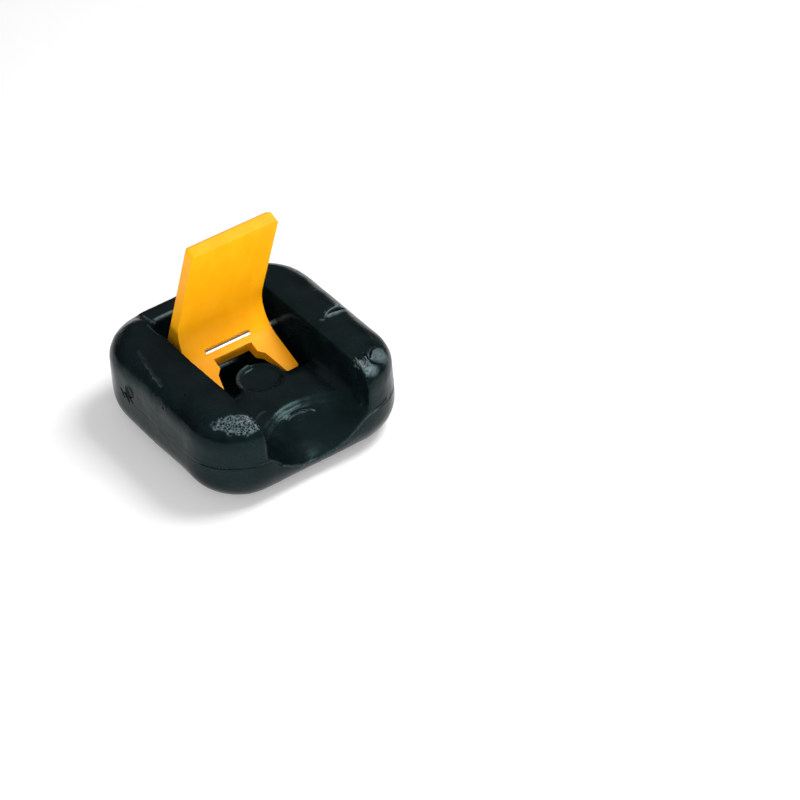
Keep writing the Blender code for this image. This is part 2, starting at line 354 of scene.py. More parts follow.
@dataclass
class Stroke(Mark):
    """A thin ridge, or a groove where lift is below 0, along a path."""

    path: tuple[Point, ...]
    width: float
    lift: float
    taper: float = 1.5

    def settle(self, tree: BVHTree) -> None:
        """Lay the path on the skin, in short steps."""
        laid = []
        for start, end in zip(self.path[:-1], self.path[1:]):
            start, end = Vector(start), Vector(end)
            steps = max(1, round((end - start).length / LAY_STEP))
            laid += [tree.find_nearest(start.lerp(end, index / steps))[0] for index in range(steps)]
        laid.append(tree.find_nearest(Vector(self.path[-1]))[0])
        self.path = tuple(tuple(place) for place in laid)

    def spot(self, places: Array) -> Array:
        """Points in a box round the path."""
        path = np.array(self.path)
        room = REACH * self.width + ROOM
        return np.all((places > path.min(axis=0) - room) & (places < path.max(axis=0) + room), axis=1)

    def dense(self, places: Array, level: int) -> Array:
        """Points close to the path."""
        inside = self.spot(places)
        found = np.flatnonzero(inside)
        gap, _ = distance_along(places[found], np.array(self.path))
        inside[found] = gap < DENSE_REACH * self.width + DENSE_ROOM / level
        return inside

    def height(self, places: Array) -> Array:
        """A round profile across the path that fades at its ends."""
        path = np.array(self.path)
        gap, along = distance_along(places, path)
        length = float(np.linalg.norm(np.diff(path, axis=0), axis=1).sum())
        fade = ramp(np.minimum(along, length - along), 0, self.taper)
        return self.lift * np.exp(-(gap / self.width) ** 2) * fade

    def wear_and_sheen(self, places: Array) -> Array:
        """A ridge may be painted pale as a highlight along it, and a groove is kept out of that pale paint and
        stays black.
        """
        return self.height(places) / abs(self.lift) * (self.scuff_sheen_share if self.lift > 0 else GROOVE_BLACK)


@dataclass
class Dimple(Mark):
    """A small round pit with a slightly raised rim."""

    centre: Point
    radius: float
    lift: float

    def settle(self, tree: BVHTree) -> None:
        """Put the centre on the skin."""
        self.centre = tuple(tree.find_nearest(Vector(self.centre))[0])

    def spot(self, places: Array) -> Array:
        """Points near the centre."""
        return np.linalg.norm(places - self.centre, axis=1) < REACH * self.radius

    def height(self, places: Array) -> Array:
        """A pit that turns into a rim and fades."""
        share = (np.linalg.norm(places - self.centre, axis=1) / self.radius) ** 2
        return self.lift * (1 - RIM * share) * np.exp(-share)


@dataclass
class Oval(Mark):
    """A mark that fills an oval ball, turned about Z, and goes on as far as its border."""

    centre: Point
    reach: Point
    turn: float = field(default=0.0, kw_only=True)
    border: float = field(default=1.0, kw_only=True)

    def out(self, places: Array) -> Array:
        """How far out each point is, where 1 is the edge of the oval."""
        turn = np.array(Matrix.Rotation(math.radians(self.turn), 3, "Z"))
        return np.linalg.norm((places - self.centre) @ turn / self.reach, axis=1)

    def spot(self, places: Array) -> Array:
        """Points inside the border."""
        return self.out(places) < self.border


@dataclass
class Stipple(Oval):
    """A patch where the vinyl is pitted like pumice, and painted pale between the pits: partly real scuffing,
    partly a painted highlight.
    """

    cell: float
    depth: float
    border: float = field(default=1.25, kw_only=True)
    scuff_sheen_share: float = field(default=0.8, kw_only=True)

    def share(self, places: Array) -> Array:
        """1 inside the patch and 0 outside, with an uneven edge."""
        uneven = 0.25 * ripple(places, size=3.0, seed=5, octaves=2)
        return 1 - ramp(self.out(places) + uneven, 0.82, 1.04)

    def pits(self, places: Array) -> Array:
        """Pits of random depth between thin walls, from 0 to about 1."""
        uneven = 0.6 * ripple(places, size=1.6, seed=8, octaves=1)
        return ramp(cells(places, self.cell), 0.05, 0.45) * (0.65 + uneven)

    def height(self, places: Array) -> Array:
        """The pits, inside the patch."""
        return -self.depth * self.pits(places) * self.share(places)

    def wear_and_sheen(self, places: Array) -> Array:
        """The walls between the pits are painted pale, partly as scuffing and partly as a painted highlight,
        and the pits are not.
        """
        return self.scuff_sheen_share * self.share(places) * (1 - 0.97 * np.clip(self.pits(places) * 2.4, 0, 1))


@dataclass
class Swell(Oval):
    """A broad soft rise, or a hollow where lift is below 0, which may be painted pale as a highlight on it,
    partly standing for scuffing.
    """

    lift: float
    fine: int = field(default=0, kw_only=True)

    def height(self, places: Array) -> Array:
        """A rounded hill."""
        return self.lift * (1 - ramp(self.out(places), 0, 1))

    def wear_and_sheen(self, places: Array) -> Array:
        """Painted pale in the middle, as a highlight and partly as scuffing, with a soft and uneven edge."""
        uneven = 0.15 * ripple(places, size=2.5, seed=6, octaves=2)
        return self.scuff_sheen_share * (1 - ramp(self.out(places) + uneven, 0.35, 1.0))


# Finishes

class Nodes:
    """Short calls for building the nodes of a material or a world."""

    def __init__(self, owner: Material | bpy.types.World, shader: str, place: str) -> None:
        """Start on the owner's tree.

        Args:
            owner: the material or the world.
            shader: the name of the shader that its tree has from the start.
            place: which coordinates its textures read.
        """
        owner.use_nodes = True
        self.owner = owner
        self.tree = owner.node_tree
        self.shader = self.tree.nodes[shader]
        self.place = self.add("ShaderNodeTexCoord").outputs[place]

    @classmethod
    def of_material(cls, name: str) -> "Nodes":
        """Start a new material, whose textures read the object's own coordinates."""
        return cls(bpy.data.materials.new(name), "Principled BSDF", "Object")

    def fill(self, node: bpy.types.Node, inputs: dict[str | int, Input]) -> None:
        """Give a node its inputs, by name or number. A socket is joined, and anything else is set."""
        for name, value in inputs.items():
            if isinstance(value, Socket):
                self.tree.links.new(value, node.inputs[name])
            else:
                node.inputs[name].default_value = value

    def add(self, kind: str, inputs: dict[str | int, Input] | None = None, **settings: str) -> bpy.types.Node:
        """Add a node.

        Args:
            kind: the node's type.
            inputs: values or sockets for its inputs, by name or number.
            settings: values for its own settings.

        Returns:
            The node.
        """
        node = self.tree.nodes.new(kind)
        for name, value in settings.items():
            setattr(node, name, value)
        self.fill(node, inputs or {})
        return node

    def noise(self, size: float, detail: float = 2.0, roughness: float = 0.5,
              place: Socket | None = None) -> Socket:
        """Cloudy values from 0 to 1 whose clouds are about as large as size."""
        return self.add("ShaderNodeTexNoise", {"Vector": place or self.place, "Scale": 1 / size,
                                               "Detail": detail, "Roughness": roughness}).outputs[0]

    def stretched(self, scale: Point) -> Socket:
        """Coordinates whose textures are drawn out along the axes with a scale below 1."""
        return self.add("ShaderNodeMapping", {"Vector": self.place, "Scale": scale}).outputs[0]

    def spread(self, value: Input, low: float, high: float, bottom: float = 0.0, top: float = 1.0) -> Socket:
        """Map low to bottom and high to top, smoothly and without going past them."""
        inputs = {"Value": value, "From Min": low, "From Max": high, "To Min": bottom, "To Max": top}
        return self.add("ShaderNodeMapRange", inputs, interpolation_type="SMOOTHSTEP").outputs[0]

    def maths(self, operation: str, first: Input, second: Input) -> Socket:
        """A sum on two values."""
        return self.add("ShaderNodeMath", {0: first, 1: second}, operation=operation).outputs[0]

    def blend(self, share: Input, first: Input, second: Input) -> Socket:
        """Go from the first colour to the second as share goes from 0 to 1."""
        return self.add("ShaderNodeMix", {0: share, 6: first, 7: second}, data_type="RGBA").outputs[2]

    def bump(self, height: Input, depth: float, strength: float = 1.0, under: Socket | None = None) -> Socket:
        """Turn heights into a bumped normal, which may lie on another."""
        inputs = {"Height": height, "Distance": depth, "Strength": strength}
        if under is not None:
            inputs["Normal"] = under
        return self.add("ShaderNodeBump", inputs).outputs[0]

    def finish(self, colour: Input, roughness: Input, normal: Socket, **fixed: Input) -> Material:
        """Join the shader up.

        Args:
            colour: the socket or value of its colour.
            roughness: the socket or value of its roughness.
            normal: the socket of its bumped normal.
            fixed: values for its other inputs, with _ for a space.

        Returns:
            The material.
        """
        self.fill(self.shader, {"Base Color": colour, "Roughness": roughness, "Normal": normal})
        self.fill(self.shader, {name.replace("_", " "): value for name, value in fixed.items()})
        return self.owner


@dataclass(frozen=True)
class DippedVinyl:
    """Thick black vinyl from a dip: glossy, faintly cloudy, and painted pale where its wear attribute says so,
    as a painted highlight and partly as real scuffing.
    """

    name: str = "black_vinyl"
    deep: Colour = (0.0018, 0.0042, 0.0046, 1.0)
    pale: Colour = (0.0036, 0.0082, 0.0090, 1.0)
    scuff_sheen_colour: Colour = (0.115, 0.155, 0.165, 1.0)
    tint: Colour = (0.58, 0.97, 1.0, 1.0)
    worn_and_sheened: bool = False
    gloss: float = 0.16
    dull: float = 0.28
    level: float = 0.14
    clouds: float = 14 * MM
    specks: float = 1.1 * MM
    waves: float = 3.2 * MM
    wave_height: float = 0.08 * MM
    grain: float = 0.45 * MM
    grain_height: float = 0.010 * MM

    def make(self) -> Material:
        """Build the material."""
        nodes = Nodes.of_material(self.name)
        clouds = nodes.noise(self.clouds, 4.0, 0.55)
        specks = nodes.noise(self.specks, 3.0, 0.6)
        colour = nodes.blend(nodes.spread(clouds, 0.3, 0.7), self.deep, self.pale)
        # The pale colour laid on here from the vertex attribute is painted highlight along ridges, folds, edges
        # and facets, and partly real scuffing on the pitted patches.
        if self.worn_and_sheened:
            wear_and_sheen = nodes.add("ShaderNodeAttribute", attribute_name="wear_and_sheen").outputs["Fac"]
            scuff_sheen_share = nodes.maths("MULTIPLY", wear_and_sheen, nodes.spread(specks, 0.3, 0.6, 0.45, 1.0))
            colour = nodes.blend(scuff_sheen_share, colour, self.scuff_sheen_colour)
        mottle = nodes.maths("ADD", clouds, nodes.maths("MULTIPLY", specks, 0.35))
        roughness = nodes.spread(mottle, 0.45, 0.85, self.gloss, self.dull)
        normal = nodes.bump(nodes.noise(self.waves, 3.0, 0.55), self.wave_height)
        normal = nodes.bump(nodes.noise(self.grain), self.grain_height, under=normal)
        return nodes.finish(colour, roughness, normal, Specular_IOR_Level=self.level, Specular_Tint=self.tint)


@dataclass(frozen=True)
class MouldedPlastic:
    """Orange plastic from a mould: even colour, faint flow marks, and a fine satin grain."""

    name: str = "orange_plastic"
    colour: Colour = (0.93, 0.385, 0.002, 1.0)
    faded: Colour = (0.97, 0.43, 0.006, 1.0)
    satin: float = 0.42
    matt: float = 0.52
    level: float = 0.15
    scatter: float = 0.08
    scatter_depth: float = 2 * MM
    flow: float = 9 * MM
    flow_height: float = 0.05 * MM
    flow_stretch: Point = (1.0, 0.35, 0.35)
    blotches: float = 2.4 * MM
    grain: float = 0.35 * MM
    grain_height: float = 0.010 * MM

    def make(self) -> Material:
        """Build the material."""
        nodes = Nodes.of_material(self.name)
        marks = nodes.noise(self.flow, 3.0, place=nodes.stretched(self.flow_stretch))
        colour = nodes.blend(nodes.spread(marks, 0.35, 0.7), self.colour, self.faded)
        roughness = nodes.spread(nodes.noise(self.blotches, 3.0, 0.6), 0.3, 0.7, self.satin, self.matt)
        normal = nodes.bump(nodes.noise(self.grain), self.grain_height)
        normal = nodes.bump(marks, self.flow_height, under=normal)
        return nodes.finish(colour, roughness, normal, Specular_IOR_Level=self.level,
                            Subsurface_Weight=self.scatter, Subsurface_Scale=self.scatter_depth)


@dataclass(frozen=True)
class GroundSteel:
    """Bright stainless steel, ground round its length."""

    name: str = "stainless_steel"
    bright: Colour = (0.93, 0.94, 0.93, 1.0)
    grey: Colour = (0.78, 0.79, 0.77, 1.0)
    smooth: float = 0.38
    rough: float = 0.5
    rings: float = 0.12 * MM
    ring_height: float = 0.004 * MM
    ring_stretch: Point = (1.0, 0.12, 0.12)

    def make(self) -> Material:
        """Build the material."""
        nodes = Nodes.of_material(self.name)
        marks = nodes.noise(self.rings, 2.0, 0.6, nodes.stretched(self.ring_stretch))
        colour = nodes.blend(nodes.spread(marks, 0.3, 0.7), self.bright, self.grey)
        roughness = nodes.spread(marks, 0.3, 0.7, self.smooth, self.rough)
        return nodes.finish(colour, roughness, nodes.bump(marks, self.ring_height), Metallic=1.0)


@dataclass(frozen=True)
class CastLead:
    """Dull grey lead as it comes from the mould, with flow wrinkles and small blow holes."""

    name: str = "cast_lead"
    fresh: Colour = (0.22, 0.23, 0.25, 1.0)
    oxide: Colour = (0.09, 0.095, 0.10, 1.0)
    smooth: float = 0.42
    rough: float = 0.68
    metal: float = 0.75
    clouds: float = 9 * MM
    wrinkles: float = 2.0 * MM
    wrinkle_height: float = 0.25 * MM
    holes: float = 3.5 * MM
    hole_depth: float = 0.2 * MM

    def make(self) -> Material:
        """Build the material."""
        nodes = Nodes.of_material(self.name)
        clouds = nodes.noise(self.clouds, 5.0, 0.6)
        inputs = {"Vector": nodes.place, "Scale": 1 / self.holes}
        holes = nodes.add("ShaderNodeTexVoronoi", inputs).outputs["Distance"]
        colour = nodes.blend(nodes.spread(clouds, 0.35, 0.65), self.fresh, self.oxide)
        roughness = nodes.spread(clouds, 0.3, 0.7, self.smooth, self.rough)
        normal = nodes.bump(nodes.noise(self.wrinkles, 4.0, 0.6), self.wrinkle_height)
        normal = nodes.bump(nodes.spread(holes, 0.05, 0.22), self.hole_depth, 0.8, normal)
        return nodes.finish(colour, roughness, normal, Metallic=self.metal)


@dataclass(frozen=True)
class PlainPaper:
    """The plain white of the floor, a little brighter where the camera or a shiny surface sees it."""

    name: str = "studio_paper"
    white: Colour = (0.82, 0.82, 0.82, 1.0)
    brighter: Colour = (0.84, 0.84, 0.84, 1.0)
    glow: float = 0.22
    rough: float = 0.9
    level: float = 0.1
    fibres: float = 4 * MM
    fibre_height: float = 0.02 * MM

    def make(self) -> Material:
        """Build the material."""
        nodes = Nodes.of_material(self.name)
        fibre = nodes.noise(self.fibres)
        colour = nodes.blend(nodes.spread(fibre, 0.2, 0.8), self.white, self.brighter)
        nodes.finish(colour, self.rough, nodes.bump(fibre, self.fibre_height), Specular_IOR_Level=self.level)
        path = nodes.add("ShaderNodeLightPath")
        seen = nodes.maths("MAXIMUM", path.outputs["Is Camera Ray"], path.outputs["Is Glossy Ray"])
        seen = nodes.maths("MAXIMUM", seen, path.outputs["Is Transmission Ray"])
        strength = nodes.maths("MULTIPLY", seen, self.glow)
        glow = nodes.add("ShaderNodeEmission", {"Color": WHITE, "Strength": strength})
        both = nodes.add("ShaderNodeAddShader", {0: nodes.shader.outputs[0], 1: glow.outputs[0]})
        nodes.fill(nodes.tree.nodes["Material Output"], {"Surface": both.outputs[0]})
        return nodes.owner


def paint(obj: Object, material: Material) -> None:
    """Give an object its only material."""
    obj.data.materials.clear()
    obj.data.materials.append(material)


def dress(obj: Object, material: Material, sharp: float = 35.0) -> None:
    """Give an object its only material, and shade it smooth up to an angle in degrees."""
    paint(obj, material)
    obj.data.shade_smooth()
    obj.data.set_sharp_from_angle(angle=math.radians(sharp))


def present(obj: Object, body: str, slot: str, *nodes: str) -> Object:
    """Say which body a finished piece rides on, and hide the solids that it stands for."""
    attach(obj, body)
    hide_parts(*nodes)
    log.info("%s: %d faces, rides on %s", obj.name, len(obj.data.polygons), body)
    return obj


# The block under the coating

@dataclass(frozen=True)
class Block:
    """The shape of the weight: a block with round edges, a belt channel, a pit, a finger scoop and a dish."""

    width: float = 102 * MM
    length: float = 105 * MM
    height: float = 45 * MM
    plan_radius: float = 25.5 * MM
    top_radius: float = 12.5 * MM
    bottom_radius: float = 15 * MM
    channel_width: float = 52.4 * MM
    channel_fillet: float = 6 * MM
    lobe_edge: float = 3 * MM
    platform: float = 27.5 * MM
    bar_thickness: float = 14.5 * MM
    bar_height: float = 42.3 * MM
    bar_step: float = 1 * MM
    boss_radius: float = 11 * MM
    boss_y: float = -7 * MM
    dish_radius: float = 8.6 * MM
    dish_rim: float = 10 * MM
    dish_depth: float = 2.4 * MM
    scoop_radii: Point = (53 * MM, 90 * MM, 90 * MM)
    scoop_centre: Point = (0.0, -102 * MM, 84.5 * MM)
    wall_step: float = 0.4 * MM
    pivot: Point = (0.0, 19 * MM, 28 * MM)
    leg_sweep: float = 25.5 * MM
    pit_lip: float = 13 * MM
    pit_lip_start: float = 80.0
    pit_fillet: float = 4 * MM
    arc_step: float = 9.0
    corner_segments: int = 8
    edge_segments: int = 5

    @property
    def bar_face(self) -> float:
        """Where the front of the rear bar stands on Y."""
        return self.length / 2 - self.bar_thickness

    def blank(self, name: str, inset: float, fine: int) -> Object:
        """The block with round corners and edges, before anything is cut out of it."""
        bottom, top = inset, self.height - inset
        bm = bmesh.new()
        bmesh.ops.create_cube(bm, size=1)
        size = (self.width - 2 * inset, self.length - 2 * inset, top - bottom)
        bmesh.ops.scale(bm, vec=size, verts=bm.verts)
        bmesh.ops.translate(bm, vec=(0, 0, (top + bottom) / 2), verts=bm.verts)
        uprights = [edge for edge in bm.edges if abs(edge.verts[0].co.z - edge.verts[1].co.z) > HAIR]
        segments = self.edge_segments * fine
        bevel(bm, uprights, self.plan_radius - inset, self.corner_segments * fine)
        bevel(bm, edges_where(bm, lambda co: co.z > top - HAIR), self.top_radius - inset, segments)
        bevel(bm, edges_where(bm, lambda co: co.z < bottom + HAIR), self.bottom_radius - inset, segments)
        return new_object(name, bm)

    def channel(self, inset: float, step: float) -> Object:
        """The belt channel: a floor with round corners, walls, and lobe edges that roll outwards."""
        half = self.channel_width / 2 + inset
        fillet = self.channel_fillet + inset
        floor, top = self.platform - inset, self.height - inset
        roll = max(self.lobe_edge - inset, HAIR)
        pen = Outline(fillet - half, floor, step).line(half - fillet, floor)
        pen.arc((half - fillet, floor + fillet), 90).line(half, top - roll)
        pen.arc((half + roll, top - roll), -90).line(half + roll, top + OVERRUN)
        pen.line(-half - roll, top + OVERRUN).line(-half - roll, top)
        pen.arc((-half - roll, top - roll), -90).line(-half, floor + fillet)
        pen.arc((fillet - half, floor + fillet), 90)
        start = -self.length / 2 - OVERRUN
        end = self.bar_face + inset
        return pen.raised("cut_channel", end - start, Facing.FRONT, (0, (start + end) / 2, 0))

    def bar_top(self, inset: float, step: float) -> Object:
        """The step down from the lobes to the top of the bar."""
        half = self.channel_width / 2 + self.bar_step + inset
        floor, top = self.bar_height - inset, self.height + OVERRUN
        start, end = self.bar_face - OVERRUN, self.length / 2 + OVERRUN
        pen = Outline(-half, floor, step).line(half, floor).line(half, top).line(-half, top)
        return pen.raised("cut_bar_top", end - start, Facing.FRONT, (0, (start + end) / 2, 0))

    def pit(self, inset: float, step: float) -> Object:
        """The pit under the latch: a round lip, the arc that the legs clear, and a floor round the boss."""
        sweep = self.leg_sweep + inset
        lip = self.pit_lip - inset
        lip_height = self.platform - self.pit_lip
        rise = self.pivot[2] - lip_height
        run = math.sqrt((lip + sweep) ** 2 - rise ** 2)
        lip_centre = (self.pivot[1] - run, lip_height)
        meeting = math.degrees(math.atan2(rise, run))
        lip_start = math.radians(self.pit_lip_start)
        first = (lip_centre[0] + lip * math.cos(lip_start), lip_centre[1] + lip * math.sin(lip_start))
        floor = self.pivot[2] - sweep
        back = self.bar_face - self.wall_step + inset
        fillet = self.pit_fillet + inset
        top = self.platform + OVERRUN
        lead_in = (first[0] - OVERRUN, first[1] + OVERRUN / math.tan(lip_start))
        pen = Outline(*lead_in, step).line(*first).arc(lip_centre, meeting - self.pit_lip_start)
        pen.arc((self.pivot[1], self.pivot[2]), 90 - meeting).line(back - fillet, floor)
        pen.arc((back - fillet, floor + fillet), 90).line(back, top).line(lead_in[0], top)
        width = self.channel_width + 2 * (inset - self.wall_step)
        pit = pen.raised("cut_pit", width, Facing.SIDE)
        radius = self.boss_radius - inset
        boss = Outline(radius, self.boss_y, step).arc((0, self.boss_y), 180)
        boss.line(-radius, -self.length / 2).line(radius, -self.length / 2)
        return carve(pit, [boss.raised("keep_boss", 4 * self.height, Facing.UP)])

    def scoop(self, inset: float, step: float) -> Object:
        """The ball that hollows the front of the platform for a finger, sliced off beside the lobes."""
        bm = bmesh.new()
        around = 2 * round(360 / step)
        bmesh.ops.create_uvsphere(bm, u_segments=around, v_segments=around // 2, radius=1)
        bmesh.ops.scale(bm, vec=[radius + inset for radius in self.scoop_radii], verts=bm.verts)
        bmesh.ops.translate(bm, vec=self.scoop_centre, verts=bm.verts)
        half = self.channel_width / 2 + inset - self.wall_step
        for side in Side:
            whole = [*bm.verts, *bm.edges, *bm.faces]
            bmesh.ops.bisect_plane(bm, geom=whole, plane_co=(side.value * half, 0, 0),
                                   plane_no=(side.value, 0, 0), clear_outer=True)
            bmesh.ops.edgeloop_fill(bm, edges=[edge for edge in bm.edges if edge.is_boundary])
        return new_object("cut_scoop", bm)

    def scoop_height(self, x: Array, y: Array) -> Array:
        """How high the floor of the scoop is, in millimetres, at places in millimetres."""
        centre, radii = np.array(self.scoop_centre) / MM, np.array(self.scoop_radii) / MM
        room = 1 - ((x - centre[0]) / radii[0]) ** 2 - ((y - centre[1]) / radii[1]) ** 2
        return centre[2] - radii[2] * np.sqrt(np.clip(room, 0, None))

    def dish(self, inset: float, step: float) -> Object:
        """The shallow round dish in the top of the boss, with sloping sides."""
        slope = (self.dish_rim - self.dish_radius) / self.dish_depth
        depth = self.dish_depth + OVERRUN
        radius = self.dish_radius + inset
        bottom = self.platform - self.dish_depth - inset
        bm = bmesh.new()
        bmesh.ops.create_cone(bm, cap_ends=True, segments=round(360 / step), radius1=radius,
                              radius2=radius + slope * depth, depth=depth)
        bmesh.ops.translate(bm, vec=(0, self.boss_y, bottom + depth / 2), verts=bm.verts)
        return new_object("cut_dish", bm)

    def solid(self, name: str, inset: float, fine: int) -> Object:
        """The whole carved block.

        Args:
            name: the object's name.
            inset: how far its whole surface is moved in.
            fine: how fine its curves are, from 1.

        Returns:
            The carved block.
        """
        step = self.arc_step / fine
        tools = [make(inset, step) for make in (self.channel, self.bar_top, self.pit, self.scoop, self.dish)]
        return carve(self.blank(name, inset, fine), tools)


# The vinyl coating

SEAM_OFFS = (-0.5, 0.0, 0.45, 0.8, 1.3)
SEAM_HEIGHTS = (0.0, -1.0, 0.0, 0.35, 0.0)


@dataclass
class Coating:
    """The thick vinyl skin, with its lumps, its seam and every mark that the dip and the mould left."""

    block: Block = field(default_factory=Block)
    thickness: float = 2.2 * MM
    voxel: float = 0.95 * MM
    fine: int = 3
    plug_hole: float = 3.0 * MM
    plug_room: float = 0.3 * MM
    bore: float = 1.8 * MM
    seam_height: float = 22.0
    seam_depth: float = 0.42
    seam_room: float = 2.0
    edge_room: float = 0.7
    crest_room: float = 5.5
    sharp: float = 60.0
    marks: list[Mark] = field(default_factory=list)
    outside: BVHTree | None = field(default=None, init=False)

    def skin(self) -> BMesh:
        """The outer surface of the block as an even net of small faces."""
        solid = self.block.solid("skin", 0.0, self.fine)
        remesh = solid.modifiers.new("even_net", "REMESH")
        remesh.mode = "VOXEL"
        remesh.voxel_size = self.voxel
        bm = settled(solid)
        drop(solid)
        return bm

    @staticmethod
    def places(bm: BMesh) -> Array:
        """Where the vertices are."""
        return np.array([vert.co[:] for vert in bm.verts])

    @staticmethod
    def normals(bm: BMesh) -> Array:
        """Which way the surface faces at each vertex."""
        bm.normal_update()
        return np.array([vert.normal[:] for vert in bm.verts])

    @staticmethod
    def put(bm: BMesh, places: Array) -> None:
        """Move the vertices."""
        for vert, place in zip(bm.verts, places):
            vert.co = place

    @staticmethod
    def relax(bm: BMesh, rounds: int, verts: list[bmesh.types.BMVert] | None = None) -> None:
        """Smooth the surface, or the given part of it, a number of times."""
        chosen = bm.verts if verts is None else verts
        for _ in range(rounds):
            bmesh.ops.smooth_vert(bm, verts=chosen, factor=0.5,
                                  use_axis_x=True, use_axis_y=True, use_axis_z=True)

    def crest(self, places: Array) -> Array:
        """How far the round crest between the channel's floor and the scoop lies below a sharp one."""
        block = self.block
        x, y, z = places.T
        fillet = block.channel_fillet / MM
        half = block.channel_width / 2 / MM
        over = np.clip(np.abs(x) - (half - fillet), 0, fillet - 0.01)
        floor = block.platform / MM + fillet - np.sqrt(fillet ** 2 - over ** 2)
        scoop = block.scoop_height(x, y)
        share = np.clip(1 - np.abs(floor - scoop) / self.crest_room, 0, 1)
        near = 1 - ramp(np.abs(z - np.minimum(floor, scoop)), 0.8, 1.6)
        return share ** 2 * self.crest_room / 4 * near * ramp(-y, 20.0, 26.0)

    def soften(self, bm: BMesh) -> None:
        """Round all edges a little, the scoop's crest more, and the edges beside the scoop hardly at all."""
        self.relax(bm, 2)
        crisp = self.places(bm)
        self.relax(bm, 5)
        soft = self.places(bm)
        x, y, z = soft.T / MM
        wall = 1 - ramp(np.abs(np.abs(x) - self.block.channel_width / 2 / MM), 1.5, 3.5)
        beside = wall * (1 - ramp(y, -46.0, -40.0)) * (1 - ramp(z, 30.0, 40.0))
        soft[:, 2] -= self.crest(soft / MM) * MM
        self.put(bm, soft + (crisp - soft) * beside[:, None])

    def corner_out(self, places: Array) -> Array:
        """How far out places lie from the core of the plan, whose walls stand at the corner radius."""
        corner = self.block.plan_radius / MM
        halves = np.array((self.block.width, self.block.length)) / 2 / MM
        return np.hypot(*np.maximum(np.abs(places[:, :2]) - (halves - corner), 0).T)

    def seam_at(self, places: Array) -> Array:
        """The height of the seam of the vinyl at each point, which dips along the lip of the scoop."""
        x, y = places[:, 0], places[:, 1]
        lip = self.block.scoop_height(x, y) - 0.5
        wavy = self.seam_height + 0.5 * np.sin(x / 9.0) + 0.4 * np.sin(y / 12.0 + 1.0)
        return np.where(y < -40, np.minimum(wavy, lip), wavy)

    def score(self, bm: BMesh) -> None:
        """Put the edge loops of the seam into the net, all round the outer walls."""
        level = self.places(bm)
        level[:, 2] -= self.seam_at(level)
        self.put(bm, level)
        wall = self.block.plan_radius / MM - 3.0
        for off in SEAM_OFFS:
            centres = np.array([face.calc_center_median()[:] for face in bm.faces])
            near = (np.abs(centres[:, 2] - off) < self.seam_room) & (self.corner_out(centres) > wall)
            faces = [face for face, hit in zip(bm.faces, near) if hit]
            edges = [edge for face in faces for edge in face.edges]
            verts = [vert for face in faces for vert in face.verts]
            bmesh.ops.bisect_plane(bm, geom=list(dict.fromkeys([*faces, *edges, *verts])), dist=0.01,
                                   plane_co=(0, 0, off), plane_no=(0, 0, 1))
        back = self.places(bm)
        back[:, 2] += self.seam_at(back)
        self.put(bm, back)

    def seam(self, places: Array) -> Array:
        """The groove of the seam, with a line of flash over it."""
        off = places[:, 2] - self.seam_at(places)
        profile = np.interp(off, SEAM_OFFS, SEAM_HEIGHTS)
        corner = self.block.plan_radius / MM
        outer = ramp(self.corner_out(places), corner - 2.6, corner - 1.2)
        faint = 1 - 0.75 * ramp(-places[:, 0], 40.0, 49.0) * ramp(places[:, 1], -36.0, -22.0)
        uneven = 0.75 + 0.35 * ripple(places, size=11.0, seed=3, octaves=2)
        return profile * self.seam_depth * faint * uneven * outer

    def refine(self, bm: BMesh) -> None:
        """Split the faces where fine marks will go."""
        for level in (1, 2):
            fine = [mark for mark in self.marks if mark.fine >= level]
            places = self.places(bm)
            dense = np.any([mark.dense(places, level) for mark in fine], axis=0) & self.outer(bm)
            bm.verts.index_update()
            edges = [edge for edge in bm.edges if all(dense[vert.index] for vert in edge.verts)]
            bmesh.ops.subdivide_edges(bm, edges=edges, cuts=1, use_grid_fill=True)
            bm.verts.index_update()
            places = self.places(bm)
            near = np.any([mark.spot(places) for mark in fine], axis=0) & self.outer(bm)
            self.relax(bm, 1, [vert for vert in bm.verts if near[vert.index]])

    @staticmethod
    def lumps(places: Array) -> Array:
        """The broad unevenness of the dip, less on the base, which is flat."""
        broad = 0.38 * ripple(places, size=24.0, seed=1, octaves=2)
        middle = 0.075 * ripple(places, size=7.0, seed=2, octaves=3)
        small = 0.035 * ripple(places, size=2.6, seed=4, octaves=2)
        upper = ramp(places[:, 2], 8.0, 30.0)
        return (broad + middle * (0.5 + 0.7 * upper) + small * upper - 0.25) * ramp(places[:, 2], 0.5, 6.0)

    @staticmethod
    def crown(places: Array) -> Array:
        """How far the tops of the lobes fall away from their middle line."""
        across = np.abs(places[:, 0])
        top = ramp(places[:, 2], 38.0, 43.5)
        inner = (1 - ramp(across, 27.0, 36.0)) * 0.9
        outer = ramp(across, 36.0, 46.0) * 0.3
        ends = ramp(np.abs(places[:, 1] - 2.0), 20.0, 48.0) * 0.5
        lobes = ramp(across, 25.5, 28.0)
        return -(inner + outer + ends) * top * lobes

    def outer(self, bm: BMesh) -> Array:
        """Which vertices lie on the outer skin, as True or False, and not in the hollow or its bores."""
        near = self.outside.find_nearest
        found = np.array([near(vert.co)[3] < self.edge_room for vert in bm.verts])
        x, y, z = self.places(bm).T
        _, pin_y, pin_z = (number / MM for number in self.block.pivot)
        hole = np.hypot(y - pin_y, z - pin_z) < self.plug_hole / MM + 0.05
        return found & ~(hole & (np.abs(x) > self.block.width / 2 / MM - 0.8))

